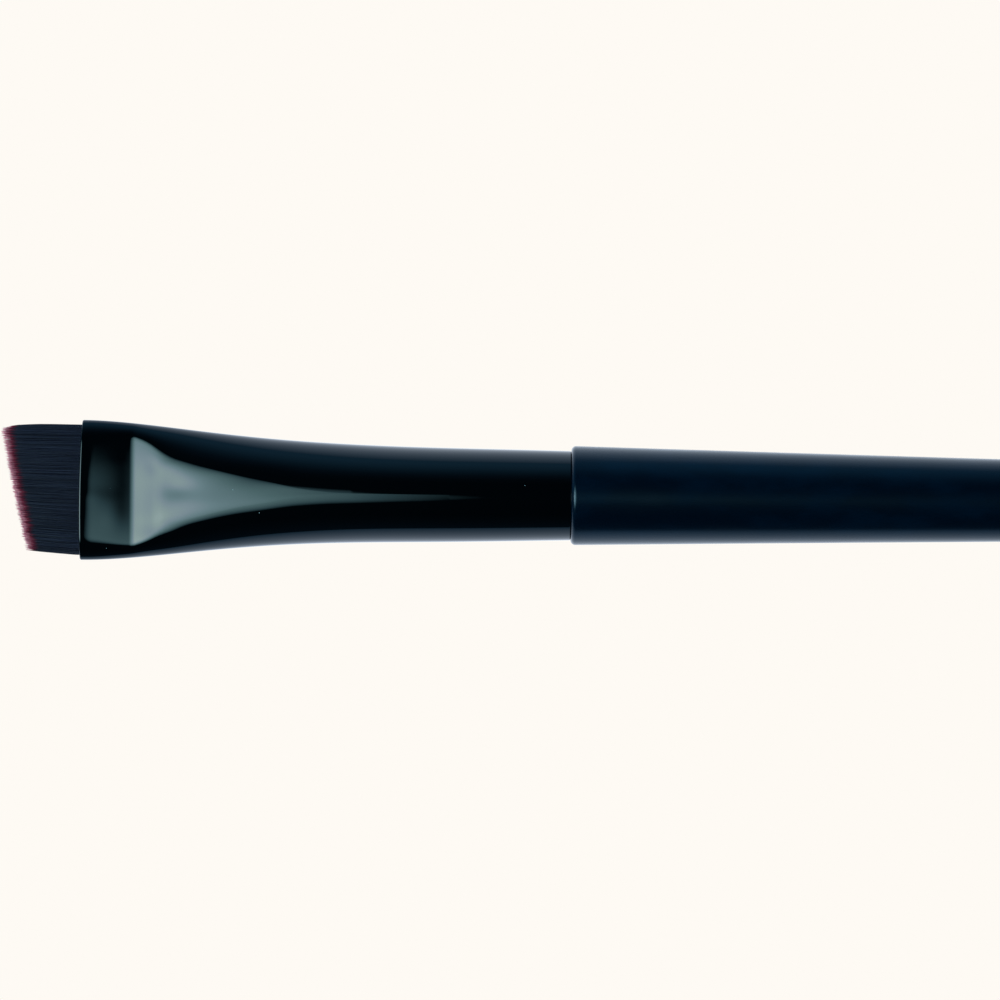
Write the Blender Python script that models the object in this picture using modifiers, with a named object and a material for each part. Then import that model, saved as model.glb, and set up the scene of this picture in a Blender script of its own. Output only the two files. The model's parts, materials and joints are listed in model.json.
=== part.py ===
"""An angled brow brush, lying on its side with the pressed face of its ferrule up.

A turned wooden handle has a tenon glued into a drawn metal ferrule. The ferrule's mouth is
pressed flat round a knot of synthetic filaments, whose root is bound with thread and set in
a plug of cured epoxy. The filaments are cut on a slant.

Units are metres, +Z is up. Each piece is made in the brush's own frame: x = 0 at the
ferrule's mouth, +x towards the handle's end, +z out of the pressed face, and the longer
filaments at +y. The whole brush then leans a little, because it lies on its shoulder and
on its thin end.
"""

import math
import random

import bmesh
import bpy
from mathutils import Vector

MM = 0.001

# Ferrule: a tapered tube, pressed flat at its mouth, with a wedge behind the pressed part
# that opens out into the round tail.
CRIMP_LENGTH = 3.2 * MM
WEDGE_LENGTH = 22.8 * MM
TAIL_LENGTH = 4.6 * MM
FERRULE_WALL = 0.25 * MM
MOUTH_WIDTH = 8.75 * MM
MOUTH_THICKNESS = 1.9 * MM
MOUTH_EDGE = 0.07 * MM
TAIL_DIAMETER = 5.58 * MM
TUBE_TAPER_POWER = 1.63
SPREAD_FADE = 4.2
PINCH_FADE = 3.3
FLAT_FADE = 1.35

# Clearance that every glued or seated face keeps to its neighbour.
FIT_GAP = 0.05 * MM

# Handle: a tenon, a shoulder with a rounded lip, and a long taper to a domed end.
SHOULDER_DIAMETER = 6.18 * MM
LIP_RADIUS = 0.25 * MM
HANDLE_LENGTH = 114.5 * MM
HANDLE_END_DIAMETER = 3.2 * MM
TAPER_FADE = 1.6
END_DOME_LENGTH = 1.5 * MM
END_FLAT_DIAMETER = 1.4 * MM
TENON_LENGTH = 9.0 * MM
TENON_CHAMFER = 0.4 * MM

# Glue in the tenon joint: a thin sleeve, short of both ends of the tenon.
GLUE_FILM = 0.12 * MM
GLUE_SETBACK = 0.6 * MM

# Filament knot: its head shows, and behind the pressed mouth it narrows to its bound neck.
LONG_SIDE_LENGTH = 4.9 * MM
SHORT_SIDE_LENGTH = 3.27 * MM
TIP_WIDTH = 7.85 * MM
TIP_THICKNESS = 0.8 * MM
TIP_LEAN = 0.18 * MM
CORNER_DROP = 0.45 * MM
CORNER_FROM_SHARE = 0.86
LENGTH_SCATTER = 0.1 * MM
STRAND_ROOT_SHARE = 0.8
STRAND_TIP_SHARE = 0.35
KNOT_WIDTH_SHARE = 0.985
ROOT_SETBACK = 0.3 * MM
NARROWING_LENGTH = 4.3 * MM
NECK_LENGTH = 3.5 * MM

# Binding thread round the neck, and the cup of epoxy that the bound root is set in.
THREAD_DIAMETER = 0.2 * MM
BINDING_WIDTH = 1.2 * MM
PLUG_WALL = 0.5 * MM
PLUG_FLOOR = 2.0 * MM

# How finely the shapes are drawn.
TURNED_SIDES = 28
FERRULE_SIDES = 40
WEDGE_STATIONS = 12
STATION_SPACING_POWER = 1.3
TAPER_STATIONS = 14
ARC_STEPS = 4
PLUG_STATIONS = 5
KNOT_COLUMNS = 44
KNOT_ROWS = 8
NARROWING_STATIONS = 3
EDGE_SEGMENTS = 2
EDGE_ANGLE = math.radians(50)
SMOOTH_ANGLE = math.radians(35)
MERGE_DISTANCE = 0.001 * MM
SEED = 11

# Places along the brush, and radii, that follow from the sizes above.
ROUND_FROM = CRIMP_LENGTH + WEDGE_LENGTH
FERRULE_LENGTH = ROUND_FROM + TAIL_LENGTH
SHOULDER_X = FERRULE_LENGTH + FIT_GAP
NECK_FROM = CRIMP_LENGTH + NARROWING_LENGTH
ROOT_X = NECK_FROM + NECK_LENGTH
BORE_INSET = FERRULE_WALL + FIT_GAP
NECK_ROOM = PLUG_WALL + THREAD_DIAMETER + 2 * FIT_GAP
MOUTH_ROUND_RADIUS = (MOUTH_WIDTH - MOUTH_THICKNESS) / math.pi + MOUTH_THICKNESS / 2
TAIL_RADIUS = TAIL_DIAMETER / 2
SHOULDER_RADIUS = SHOULDER_DIAMETER / 2
HANDLE_END_RADIUS = HANDLE_END_DIAMETER / 2

# Finishes: linear colour, roughness and metallic value.
FINISHES = {
    "gloss_black_lacquer": ((0.002, 0.006, 0.011), 0.08, 0.0),
    "matte_black_lacquer": ((0.002, 0.009, 0.016), 0.45, 0.0),
    "black_filament": ((0.012, 0.014, 0.024), 0.4, 0.0),
    "white_thread": ((0.70, 0.68, 0.62), 0.8, 0.0),
    "clear_epoxy": ((0.62, 0.55, 0.38), 0.2, 0.0),
    "wood_glue": ((0.75, 0.70, 0.55), 0.5, 0.0),
}


def clear_scene():
    for old in list(bpy.data.objects):
        bpy.data.objects.remove(old)


def material(name):
    """A Principled material from the finishes."""
    colour, roughness, metallic = FINISHES[name]
    made = bpy.data.materials.new(name)
    made.use_nodes = True
    shader = made.node_tree.nodes["Principled BSDF"]
    shader.inputs["Base Color"].default_value = (*colour, 1.0)
    shader.inputs["Roughness"].default_value = roughness
    shader.inputs["Metallic"].default_value = metallic
    made.diffuse_color = (*colour, 1.0)
    return made


def add_piece(name, mesh, finish, brush, collection):
    """A named piece of the brush, with its finish, carried by the brush's empty."""
    piece = bpy.data.objects.new(name, mesh)
    piece.data.materials.append(material(finish))
    piece.parent = brush
    collection.objects.link(piece)
    return piece


def shade_smooth(mesh):
    mesh.shade_smooth()
    mesh.set_sharp_from_angle(angle=SMOOTH_ANGLE)


def clamp(share):
    return min(max(share, 0.0), 1.0)


def fade(share, power):
    """1 at share 0, falling to 0 at share 1."""
    return (1.0 - clamp(share)) ** power


def level_fade(share, power):
    """As fade, but level where it starts."""
    return fade(share, power) * (1.0 + power * clamp(share))


def smooth_step(share):
    share = clamp(share)
    return share * share * (3.0 - 2.0 * share)


def lerp(start, end, share):
    return start + (end - start) * share


# Sections of the ferrule. A section is (flat, end, half): two flats from -flat to +flat
# across y, joined by half ellipses that reach end further out, and half up and down.


def ferrule_section(x, inset=0.0):
    """The pressed tube's section at x, drawn in by inset."""
    radius = lerp(MOUTH_ROUND_RADIUS, TAIL_RADIUS, (x / FERRULE_LENGTH) ** TUBE_TAPER_POWER)
    spread = MOUTH_WIDTH / 2 - MOUTH_ROUND_RADIUS
    half_width = radius + spread * level_fade(x / ROUND_FROM, SPREAD_FADE)
    wedge_share = (x - CRIMP_LENGTH) / WEDGE_LENGTH
    pinch = (radius - MOUTH_THICKNESS / 2) * fade(wedge_share, PINCH_FADE)
    half_thickness = radius - pinch
    flat = (half_width - half_thickness) * fade(wedge_share, FLAT_FADE)
    return flat, half_width - flat - inset, half_thickness - inset


def section_points(x, inset):
    """The section's outline at x, with one flat face on top and one below."""
    flat, end, half = ferrule_section(x, inset)
    points = []
    for side in range(FERRULE_SIDES):
        angle = math.tau * (side + 0.5) / FERRULE_SIDES
        y = math.copysign(flat, math.cos(angle)) + end * math.cos(angle)
        points.append(Vector((x, y, half * math.sin(angle))))
    return points


def add_ring(bm, points):
    return [bm.verts.new(point) for point in points]


def bridge(bm, first, second):
    """Quads between two rings that have the same number of points."""
    for index, (near, far) in enumerate(zip(first, second)):
        after = (index + 1) % len(first)
        bm.faces.new((near, far, second[after], first[after]))


def to_mesh(bm, name):
    """The finished mesh of what bm holds."""
    mesh = bpy.data.meshes.new(name)
    bm.to_mesh(mesh)
    bm.free()
    return mesh


def loft(name, outlines, capped=False, closed=False):
    """A mesh through a row of outlines, open, capped at both ends, or closed on itself."""
    bm = bmesh.new()
    rings = [add_ring(bm, outline) for outline in outlines]
    for first, second in zip(rings, rings[1:]):
        bridge(bm, first, second)
    if closed:
        bridge(bm, rings[-1], rings[0])
    if capped:
        bm.faces.new(rings[0])
        bm.faces.new(rings[-1])
    bmesh.ops.recalc_face_normals(bm, faces=bm.faces)
    mesh = to_mesh(bm, name)
    shade_smooth(mesh)
    return mesh


def turned_profile(name, profile, closed=False):
    """An outline to turn round z, from (radius, height) points given from the top down.

    It stands half a side round from +x, so that once the piece is laid along the brush one
    of its flat sides faces down.
    """
    half_side = math.pi / TURNED_SIDES
    points = [
        (radius * math.cos(half_side), radius * math.sin(half_side), height)
        for radius, height in profile
    ]
    edges = [(index, index + 1) for index in range(len(points) - 1)]
    if closed:
        edges.append((len(points) - 1, 0))
    mesh = bpy.data.meshes.new(name)
    mesh.from_pydata(points, edges, [])
    return mesh


def turn(piece):
    """Turns the piece's outline round its own z, and lays it along the brush."""
    turning = piece.modifiers.new("turning", "SCREW")
    turning.axis = "Z"
    turning.angle = math.tau
    turning.steps = TURNED_SIDES
    turning.render_steps = TURNED_SIDES
    turning.use_merge_vertices = True
    turning.merge_threshold = MERGE_DISTANCE
    turning.use_smooth_shade = True
    piece.location = (SHOULDER_X, 0.0, 0.0)
    piece.rotation_euler = (0.0, math.pi / 2, 0.0)


# Ferrule


def ferrule_stations():
    """Places along the ferrule, closer together where the wedge begins."""
    stations = [0.0, CRIMP_LENGTH / 2]
    for index in range(WEDGE_STATIONS + 1):
        share = (index / WEDGE_STATIONS) ** STATION_SPACING_POWER
        stations.append(lerp(CRIMP_LENGTH, FERRULE_LENGTH, share))
    return stations


def build_ferrule(brush, collection):
    """The pressed tube, with its wall drawn inwards from its outer skin."""
    skin = loft("ferrule", [section_points(x, 0.0) for x in ferrule_stations()])
    ferrule = add_piece("ferrule", skin, "gloss_black_lacquer", brush, collection)
    wall = ferrule.modifiers.new("wall", "SOLIDIFY")
    wall.thickness = FERRULE_WALL
    wall.offset = -1.0
    wall.use_even_offset = True
    edge = ferrule.modifiers.new("edge", "BEVEL")
    edge.width = MOUTH_EDGE
    edge.segments = EDGE_SEGMENTS
    edge.limit_method = "ANGLE"
    edge.angle_limit = EDGE_ANGLE
    return ferrule


# Handle


def taper_radius(height):
    """The handle's radius at a height above its shoulder."""
    return lerp(HANDLE_END_RADIUS, SHOULDER_RADIUS, fade(height / HANDLE_LENGTH, TAPER_FADE))


def dome_profile():
    """The domed end, from the middle of its flat tip to where it meets the taper."""
    foot = HANDLE_LENGTH - END_DOME_LENGTH
    points = [(0.0, HANDLE_LENGTH)]
    for step in range(ARC_STEPS):
        angle = math.pi / 2 * step / ARC_STEPS
        radius = lerp(END_FLAT_DIAMETER / 2, taper_radius(foot), math.sin(angle))
        points.append((radius, foot + END_DOME_LENGTH * math.cos(angle)))
    return points


def taper_profile():
    """The taper, from the foot of the dome down to the shoulder's lip."""
    points = []
    for station in range(TAPER_STATIONS + 1):
        share = station / TAPER_STATIONS
        height = lerp(HANDLE_LENGTH - END_DOME_LENGTH, LIP_RADIUS, share)
        points.append((taper_radius(height), height))
    return points


def lip_profile():
    """The rounded lip, down to the shoulder's face."""
    points = []
    for step in range(1, ARC_STEPS + 1):
        angle = math.pi / 2 * step / ARC_STEPS
        radius = taper_radius(LIP_RADIUS) - LIP_RADIUS * (1.0 - math.cos(angle))
        points.append((radius, LIP_RADIUS * (1.0 - math.sin(angle))))
    return points


def glue_outer_radius():
    """The glue fills the ferrule's bore where that is narrowest along the tenon."""
    radii = []
    for x in (SHOULDER_X - TENON_LENGTH, FERRULE_LENGTH):
        flat, end, half = ferrule_section(x, BORE_INSET)
        radii.append(min(flat + end, half))
    return min(radii)


def tenon_radius():
    return glue_outer_radius() - GLUE_FILM - FIT_GAP


def tenon_profile():
    """The tenon, from the shoulder's face down to its chamfered end."""
    radius = tenon_radius()
    return [
        (radius, 0.0),
        (radius, TENON_CHAMFER - TENON_LENGTH),
        (radius - TENON_CHAMFER, -TENON_LENGTH),
        (0.0, -TENON_LENGTH),
    ]


def build_handle(brush, collection):
    profile = dome_profile() + taper_profile() + lip_profile() + tenon_profile()
    outline = turned_profile("handle", profile)
    handle = add_piece("handle", outline, "matte_black_lacquer", brush, collection)
    turn(handle)
    return handle


def build_tenon_glue(brush, collection):
    """The film of glue between tenon and ferrule, as a sleeve."""
    outer = glue_outer_radius()
    inner = outer - GLUE_FILM
    front = GLUE_SETBACK - TENON_LENGTH
    back = -GLUE_SETBACK
    profile = [(outer, back), (outer, front), (inner, front), (inner, back)]
    outline = turned_profile("tenon_glue", profile, closed=True)
    sleeve = add_piece("tenon_glue", outline, "wood_glue", brush, collection)
    turn(sleeve)
    return sleeve


# Filament knot. (u, v) is a place from -1 to 1 across the knot's width and thickness, and
# stays the same for one filament from the root to the tip.


def neck_inset(x):
    """How far the knot lies inside the ferrule's outer skin at x."""
    return BORE_INSET + NECK_ROOM * smooth_step((x - CRIMP_LENGTH) / NARROWING_LENGTH)


def knot_place(u, v, x, inset):
    """(y, z) of the place (u, v) in the knot where the ferrule's section is that at x."""
    flat, end, half = ferrule_section(x, inset)
    y = u * KNOT_WIDTH_SHARE * (flat + end)
    past_flat = max(abs(y) - flat, 0.0)
    return y, v * half * math.sqrt(1.0 - (past_flat / end) ** 2)


def knot_point(u, v, x):
    return Vector((x, *knot_place(u, v, x, neck_inset(x))))


def tip_point(u, v, scatter):
    """Where the filament at (u, v) ends, on the slanted cut."""
    mouth_half_thickness = ferrule_section(0.0, BORE_INSET)[-1]
    mouth_z = knot_place(u, v, 0.0, BORE_INSET)[-1]
    y = TIP_LEAN + u * TIP_WIDTH / 2
    corner_share = clamp((u - CORNER_FROM_SHARE) / (1.0 - CORNER_FROM_SHARE))
    reach = lerp(SHORT_SIDE_LENGTH, LONG_SIDE_LENGTH, (u + 1.0) / 2)
    reach += scatter - CORNER_DROP * corner_share**2
    return Vector((-reach, y, mouth_z * TIP_THICKNESS / 2 / mouth_half_thickness))


def grid_shares(count):
    """Even shares from -1 to 1."""
    return [lerp(-1.0, 1.0, index / count) for index in range(count + 1)]


def knot_edge():
    """(u, v) of the points round the knot's section, in order."""
    across = grid_shares(KNOT_COLUMNS)
    up = grid_shares(KNOT_ROWS)
    below = [(u, -1.0) for u in across[:-1]]
    right = [(1.0, v) for v in up[:-1]]
    above = [(u, 1.0) for u in reversed(across[1:])]
    left = [(-1.0, v) for v in reversed(up[1:])]
    return below + right + above + left


def knot_stations():
    """Places from the crimp back to the knot's root."""
    stations = [
        lerp(CRIMP_LENGTH, NECK_FROM, index / NARROWING_STATIONS)
        for index in range(NARROWING_STATIONS + 1)
    ]
    return stations + [ROOT_X]


def add_packed_root(bm, face_verts):
    """The packed part of the knot, from the face that the filaments leave to its root."""
    places = knot_edge()
    last = [face_verts[place] for place in places]
    for x in knot_stations():
        following = add_ring(bm, [knot_point(u, v, x) for u, v in places])
        bridge(bm, last, following)
        last = following
    bm.faces.new(last)


def add_cells(bm, face_verts):
    """The face that the filaments leave, with one cell for each. Gives (u, v) of each."""
    across = grid_shares(KNOT_COLUMNS)
    up = grid_shares(KNOT_ROWS)
    cells = {}
    for left, right in zip(across, across[1:]):
        for low, high in zip(up, up[1:]):
            corners = [(left, low), (right, low), (right, high), (left, high)]
            cell = bm.faces.new([face_verts[corner] for corner in corners])
            cells[cell] = ((left + right) / 2, (low + high) / 2)
    return cells


def draw_out_filaments(bm, cells):
    """Draws each cell out into a tapered filament with four sides."""
    chance = random.Random(SEED)
    bmesh.ops.inset_individual(bm, faces=list(cells), thickness=0.0)
    for cell, (u, v) in cells.items():
        middle = cell.calc_center_median()
        for vert in cell.verts:
            vert.co = middle.lerp(vert.co, STRAND_ROOT_SHARE)
        scatter = chance.uniform(-LENGTH_SCATTER, LENGTH_SCATTER)
        tip = tip_point(u, v, scatter)
        drawn = bmesh.ops.extrude_discrete_faces(bm, faces=[cell])["faces"][0]
        for vert in drawn.verts:
            vert.co = tip + (vert.co - middle) * STRAND_TIP_SHARE


def build_bristles(brush, collection):
    bm = bmesh.new()
    face_verts = {
        (u, v): bm.verts.new(knot_point(u, v, ROOT_SETBACK))
        for u in grid_shares(KNOT_COLUMNS)
        for v in grid_shares(KNOT_ROWS)
    }
    cells = add_cells(bm, face_verts)
    add_packed_root(bm, face_verts)
    bmesh.ops.recalc_face_normals(bm, faces=bm.faces)
    draw_out_filaments(bm, cells)
    mesh = to_mesh(bm, "bristles")
    return add_piece("bristles", mesh, "black_filament", brush, collection)


# Binding and plug


def build_binding(brush, collection):
    """The turns of thread round the knot's neck, as one band with round edges."""
    middle = NECK_FROM + NECK_LENGTH / 2
    thread_radius = THREAD_DIAMETER / 2
    half_width = BINDING_WIDTH / 2 - thread_radius
    thread_inset = BORE_INSET + NECK_ROOM - FIT_GAP - thread_radius
    outlines = []
    for side in (-1.0, 1.0):
        for step in range(ARC_STEPS + 1):
            angle = math.pi * step / ARC_STEPS
            x = middle + side * (half_width + thread_radius * math.sin(angle))
            inset = thread_inset + side * thread_radius * math.cos(angle)
            outlines.append(section_points(x, inset))
    mesh = loft("binding_thread", outlines, closed=True)
    return add_piece("binding_thread", mesh, "white_thread", brush, collection)


def build_root_plug(brush, collection):
    """Cured epoxy that fills the ferrule round the bound root and behind it."""
    floor = ROOT_X + FIT_GAP
    back = floor + PLUG_FLOOR
    shares = [station / PLUG_STATIONS for station in range(PLUG_STATIONS + 1)]
    outside = [section_points(lerp(back, NECK_FROM, share), BORE_INSET) for share in shares]
    inside = [
        section_points(lerp(NECK_FROM, floor, share), BORE_INSET + PLUG_WALL)
        for share in shares
    ]
    mesh = loft("root_plug", outside + inside, capped=True)
    return add_piece("root_plug", mesh, "clear_epoxy", brush, collection)


# Rest: the brush lies on its shoulder and on its thin end.


def resting_lean():
    """The angle at which the shoulder and the handle's end touch the floor together."""
    slopes = [
        (taper_radius(LIP_RADIUS) - radius) / (height - LIP_RADIUS)
        for radius, height in taper_profile() + dome_profile()
        if height > HANDLE_LENGTH / 2
    ]
    return math.atan(min(slopes))


def lay_down(brush, pieces):
    """Leans the brush, and centres its box over the origin with its underside at z = 0."""
    brush.rotation_euler = (0.0, resting_lean(), 0.0)
    bpy.context.view_layer.update()
    graph = bpy.context.evaluated_depsgraph_get()
    corners = []
    for piece in pieces:
        shown = piece.evaluated_get(graph)
        corners += [shown.matrix_world @ vert.co for vert in shown.to_mesh().vertices]
        shown.to_mesh_clear()
    low = Vector(map(min, zip(*corners)))
    high = Vector(map(max, zip(*corners)))
    brush.location = (-(low.x + high.x) / 2, -(low.y + high.y) / 2, -low.z)
    bpy.context.view_layer.update()


def main():
    clear_scene()
    collection = bpy.data.collections.new("angled_brow_brush")
    bpy.context.scene.collection.children.link(collection)
    brush = bpy.data.objects.new("brush_frame", None)
    collection.objects.link(brush)
    pieces = [
        build_handle(brush, collection),
        build_tenon_glue(brush, collection),
        build_ferrule(brush, collection),
        build_bristles(brush, collection),
        build_binding(brush, collection),
        build_root_plug(brush, collection),
    ]
    lay_down(brush, pieces)


main()
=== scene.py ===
"""Looks of an angled brow brush: a lacquered handle, a pressed ferrule and a slanted knot.

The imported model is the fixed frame. Each visible piece is made again as a fine mesh in the
brush's own frame, which has x = 0 at the ferrule's mouth, +x towards the handle's end and
+z out of the pressed face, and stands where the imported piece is.
"""

import json
import logging
import math
import random
from dataclasses import dataclass, field
from enum import Enum
from typing import Any, ClassVar, Iterable, Sequence

import bmesh
import bpy
from bpy.types import ID, Material, Mesh, Node, NodeSocket, NodeTree, Object
from mathutils import Matrix, Vector


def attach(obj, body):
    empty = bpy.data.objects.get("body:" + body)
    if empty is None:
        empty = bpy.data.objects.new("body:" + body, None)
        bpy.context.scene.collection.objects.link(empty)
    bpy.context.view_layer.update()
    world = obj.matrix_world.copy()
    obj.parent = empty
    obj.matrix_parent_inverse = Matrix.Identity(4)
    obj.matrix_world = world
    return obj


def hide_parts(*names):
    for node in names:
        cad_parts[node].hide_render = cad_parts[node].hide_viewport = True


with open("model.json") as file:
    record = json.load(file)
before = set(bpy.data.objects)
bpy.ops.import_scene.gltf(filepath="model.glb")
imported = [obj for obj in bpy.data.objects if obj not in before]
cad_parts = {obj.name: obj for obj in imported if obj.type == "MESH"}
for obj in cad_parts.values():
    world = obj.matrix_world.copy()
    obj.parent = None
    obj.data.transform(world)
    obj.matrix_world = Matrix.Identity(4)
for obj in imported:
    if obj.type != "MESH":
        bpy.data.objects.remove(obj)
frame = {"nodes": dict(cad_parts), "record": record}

LOG = logging.getLogger("brow_brush")

MM = 0.001
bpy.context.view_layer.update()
SMOOTH_ANGLE = math.radians(40)
WELD_DISTANCE = 0.0002 * MM
# Part of a dust grain's radius in which the grain is solid.
DUST_CORE = 0.6
# Sockets of a Mix node that blends colours, by place, because others bear the same names.
MIX_SHARE = 0
MIX_FIRST = 6
MIX_SECOND = 7
MIX_RESULT = 2

Colour = tuple[float, float, float, float]
Curve = Sequence[tuple[float, float]]
Outline = list[Vector]


class Body(Enum):
    """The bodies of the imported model."""

    ROOT = "root"


class Slot(Enum):
    """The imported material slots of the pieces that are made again."""

    HANDLE = "matte_black_lacquer"
    FERRULE = "gloss_black_lacquer"
    FILAMENT = "black_filament"


class Part(Enum):
    """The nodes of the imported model."""

    HANDLE = "handle"
    FERRULE = "ferrule"
    BRISTLES = "bristles"
    THREAD = "binding_thread"
    PLUG = "root_plug"
    GLUE = "tenon_glue"


def srgb(hex_colour: str) -> Colour:
    """Turns an sRGB hex value into a linear colour.

    Args:
        hex_colour: Six hex digits after a hash sign.

    Returns:
        Red, green, blue and alpha.
    """
    channels = [int(hex_colour[place:place + 2], 16) / 255 for place in (1, 3, 5)]
    linear = [c / 12.92 if c <= 0.04045 else ((c + 0.055) / 1.055) ** 2.4 for c in channels]
    return (linear[0], linear[1], linear[2], 1.0)


def clamp(share: float) -> float:
    """Holds a share between 0 and 1."""
    return min(max(share, 0.0), 1.0)


def lerp(start: float, end: float, share: float) -> float:
    """Goes from start to end as share goes from 0 to 1."""
    return start + (end - start) * share


def fade(share: float, power: float) -> float:
    """Falls from 1 at share 0 to 0 at share 1."""
    return (1.0 - clamp(share)) ** power


def level_fade(share: float, power: float) -> float:
    """Falls as fade does, but is level where it starts."""
    return fade(share, power) * (1.0 + power * clamp(share))


def smooth_step(share: float) -> float:
    """Rises from 0 to 1, level at both ends."""
    share = clamp(share)
    return share * share * (3.0 - 2.0 * share)


def soft_ramp(value: float, radius: float) -> float:
    """Is 0 below -radius and value above radius, with a round bend between."""
    bend = min(max(value + radius, 0.0), 2.0 * radius)
    return bend * bend / (4.0 * radius) + max(value - radius, 0.0)


def curve_through(points: Curve, place: float) -> float:
    """Reads a smooth curve that goes through points.

    Args:
        points: Pairs of place and value, in the order of their places.
        place: Where to read it. Beyond the outer points it stays level.

    Returns:
        The curve's value.
    """
    last = len(points) - 1
    if place <= points[0][0]:
        return points[0][1]
    if place >= points[last][0]:
        return points[last][1]
    index = max(i for i in range(last) if points[i][0] <= place)

    def slope(i: int) -> float:
        """Gives the curve's slope at a point, which is 0 at the two outer ones."""
        before, after = points[max(i - 1, 0)], points[min(i + 1, last)]
        return (after[1] - before[1]) / (after[0] - before[0]) if 0 < i < last else 0.0

    width = points[index + 1][0] - points[index][0]
    share = (place - points[index][0]) / width
    rise = smooth_step(share)
    bend = share * (1.0 - share) * width
    value = lerp(points[index][1], points[index + 1][1], rise)
    return value + bend * ((1.0 - share) * slope(index) - share * slope(index + 1))


def spread(start: float, end: float, count: int) -> list[float]:
    """Gives count even steps from start to end, both included."""
    return [lerp(start, end, index / count) for index in range(count + 1)]


def frame_matrix(origin: Vector, x_axis: Vector, y_axis: Vector, z_axis: Vector) -> Matrix:
    """Gives the matrix that moves the axes to a place and turns them to three directions."""
    return Matrix.Translation(origin) @ Matrix((x_axis, y_axis, z_axis)).transposed().to_4x4()


def add_object(name: str, data: ID) -> Object:
    """Puts a mesh, a light or a camera into the scene.

    Args:
        name: The object's name.
        data: What it shows.

    Returns:
        The object.
    """
    made = bpy.data.objects.new(name, data)
    bpy.context.scene.collection.objects.link(made)
    return made


def add_node(
    tree: NodeTree, kind: str, inputs: dict[str | int, Any] | None = None, **settings: Any
) -> Node:
    """Adds a node, with its settings and links.

    Args:
        tree: The tree that gets the node.
        kind: The node's type, without the word ShaderNode at its start.
        inputs: For an input's name or place, its value or what feeds it, which is an output
            or, for a node, its first output.
        **settings: Values of the node's properties. The name stops fills a colour ramp with
            pairs of position and linear colour.

    Returns:
        The new node.
    """
    node = tree.nodes.new("ShaderNode" + kind)
    for name, value in settings.items():
        if name == "stops":
            elements = node.color_ramp.elements
            while len(elements) < len(value):
                elements.new(1.0)
            for element, (position, colour) in zip(elements, value):
                element.position = position
                element.color = colour
        else:
            setattr(node, name, value)
    for socket, value in (inputs or {}).items():
        source = value.outputs[0] if isinstance(value, Node) else value
        if isinstance(source, NodeSocket):
            tree.links.new(source, node.inputs[socket])
        else:
            node.inputs[socket].default_value = source
    return node


def new_material(name: str) -> tuple[Material, NodeTree, NodeSocket]:
    """Makes a node material that holds the surface's own coordinates and nothing else.

    Args:
        name: The finish's name.

    Returns:
        The material, its tree and the coordinates.
    """
    material = bpy.data.materials.new(name)
    material.use_nodes = True
    tree = material.node_tree
    tree.nodes.clear()
    return material, tree, add_node(tree, "TexCoord").outputs["Object"]


def finish_surface(tree: NodeTree, inputs: dict[str | int, Any]) -> None:
    """Gives a material its surface, from the shader's inputs."""
    shader = add_node(tree, "BsdfPrincipled", inputs)
    add_node(tree, "OutputMaterial", {"Surface": shader})


def stretched_noise(
    tree: NodeTree,
    place: NodeSocket,
    length: float,
    width: float,
    layers: float = 2.0,
    strength: float = 0.5,
) -> Node:
    """Draws a noise whose patches run along the brush.

    Args:
        tree: The material's tree.
        place: The surface's own coordinates.
        length: Usual length of a patch.
        width: Usual width of a patch.
        layers: How many finer noises lie on it.
        strength: How strong each of them is against the one before.

    Returns:
        The noise.
    """
    scale = (1 / length, 1 / width, 1 / width)
    stretched = add_node(tree, "Mapping", {"Vector": place, "Scale": scale})
    inputs = {"Vector": stretched, "Scale": 1.0, "Detail": layers, "Roughness": strength}
    return add_node(tree, "TexNoise", inputs)


def scatter_dust(tree: NodeTree, place: NodeSocket, spacing: float, share: float) -> Node:
    """Scatters grains of dust over a surface.

    A grain is under a tenth of a millimetre, and is drawn at one pixel.

    Args:
        tree: The material's tree.
        place: The surface's own coordinates.
        spacing: Usual way between the grains.
        share: A grain's radius against that way.

    Returns:
        The node that gives 1 on a grain and 0 elsewhere.
    """
    grains = add_node(tree, "TexVoronoi", {"Vector": place, "Scale": 1 / spacing})
    inputs = {"Value": grains.outputs["Distance"], "From Min": share, "From Max": share * DUST_CORE}
    return add_node(tree, "MapRange", inputs)


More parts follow.
